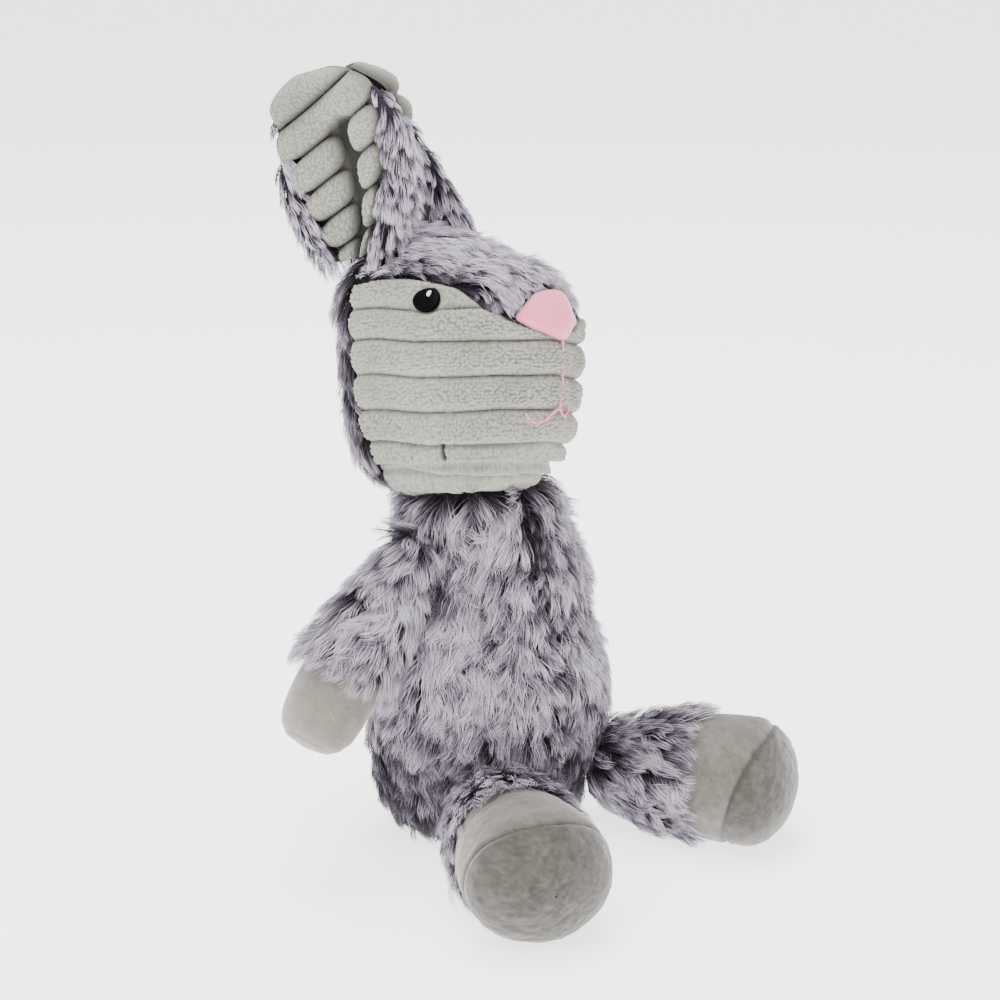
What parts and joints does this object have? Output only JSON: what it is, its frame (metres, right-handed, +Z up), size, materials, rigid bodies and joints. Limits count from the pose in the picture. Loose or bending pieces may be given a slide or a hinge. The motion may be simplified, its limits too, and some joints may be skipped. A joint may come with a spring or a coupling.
{
  "type": "stuffed toy rabbit",
  "caption": "Sitting plush rabbit with splayed legs, hanging arms, cupped upright ears, ribbed terry face and long frosted fur.",
  "frame": {"origin": "centre of the flat seat under the torso, at the level of the surface it sits on", "axes": "+Z up, the rabbit faces -Y, its own left is +X"},
  "size_m": [0.1442, 0.1488, 0.2443],
  "materials": {
    "frosted_fur": "long pile, pale lilac tips over dark roots",
    "ribbed_terry": "soft looped terry in wide padded ribs",
    "foot_velour": "short brushed nap, taupe",
    "paw_velour": "short brushed nap, pale taupe",
    "fibre_stuffing": "loose white polyester fibre",
    "nose_satin": "smooth pink satin",
    "pink_thread": "glossy embroidery thread",
    "black_thread": "glossy embroidery thread",
    "white_thread": "embroidery thread"
  },
  "bodies": {
    "torso": {"torso_front_right": "frosted_fur", "torso_front_left": "frosted_fur", "torso_back": "frosted_fur", "torso_seat": "frosted_fur", "torso_stuffing": "fibre_stuffing"},
    "head": {"face_panel": "ribbed_terry", "crown_panel": "frosted_fur", "head_back_panel": "frosted_fur", "chin_panel": "ribbed_terry", "head_stuffing": "fibre_stuffing", "nose": "nose_satin", "mouth_stitch": "pink_thread", "eye_right": "black_thread", "eye_left": "black_thread", "eye_shine_right": "white_thread", "eye_shine_left": "white_thread"},
    "arm_right": {"arm_right_sleeve": "frosted_fur", "paw_right": "paw_velour", "arm_right_stuffing": "fibre_stuffing"},
    "leg_right": {"leg_right_sleeve": "frosted_fur", "foot_right_upper": "foot_velour", "foot_right_sole": "foot_velour", "leg_right_stuffing": "fibre_stuffing"},
    "ear_right": {"ear_right_outer": "frosted_fur", "ear_right_lining": "ribbed_terry"},
    "arm_left": {"arm_left_sleeve": "frosted_fur", "paw_left": "paw_velour", "arm_left_stuffing": "fibre_stuffing"},
    "leg_left": {"leg_left_sleeve": "frosted_fur", "foot_left_upper": "foot_velour", "foot_left_sole": "foot_velour", "leg_left_stuffing": "fibre_stuffing"},
    "ear_left": {"ear_left_outer": "frosted_fur", "ear_left_lining": "ribbed_terry"}
  },
  "joints": [
    {"name": "head_nod", "type": "hinge", "parent": "torso", "child": "head", "pos_m": [-0.003, 0, 0.106], "axis": [1, 0, 0], "range_deg": [-12, 12], "stiffness_Nm_per_rad": 0.4},
    {"name": "arm_right_raise", "type": "hinge", "parent": "torso", "child": "arm_right", "pos_m": [-0.027, 0.003, 0.097], "axis": [0.0635, 0.998, 0], "range_deg": [0, 60], "stiffness_Nm_per_rad": 0.02},
    {"name": "arm_left_raise", "type": "hinge", "parent": "torso", "child": "arm_left", "pos_m": [0.027, 0.004, 0.097], "axis": [0.59, -0.8074, 0], "range_deg": [0, 60], "stiffness_Nm_per_rad": 0.02},
    {"name": "leg_right_raise", "type": "hinge", "parent": "torso", "child": "leg_right", "pos_m": [-0.0245, -0.025, 0.0205], "axis": [-0.891, 0.454, 0], "range_deg": [0, 26], "stiffness_Nm_per_rad": 0.05},
    {"name": "leg_left_raise", "type": "hinge", "parent": "torso", "child": "leg_left", "pos_m": [0.0245, -0.025, 0.0205], "axis": [-0.891, -0.454, 0], "range_deg": [0, 26], "stiffness_Nm_per_rad": 0.05},
    {"name": "ear_right_flop", "type": "hinge", "parent": "head", "child": "ear_right", "pos_m": [-0.02514, 0.02814, 0.18603], "axis": [0.4881, -0.8298, 0.2705], "range_deg": [0, 35], "stiffness_Nm_per_rad": 0.03},
    {"name": "ear_left_flop", "type": "hinge", "parent": "head", "child": "ear_left", "pos_m": [0.01706, 0.03465, 0.18155], "axis": [0.5058, 0.8598, -0.0695], "range_deg": [0, 35], "stiffness_Nm_per_rad": 0.03}
  ]
}
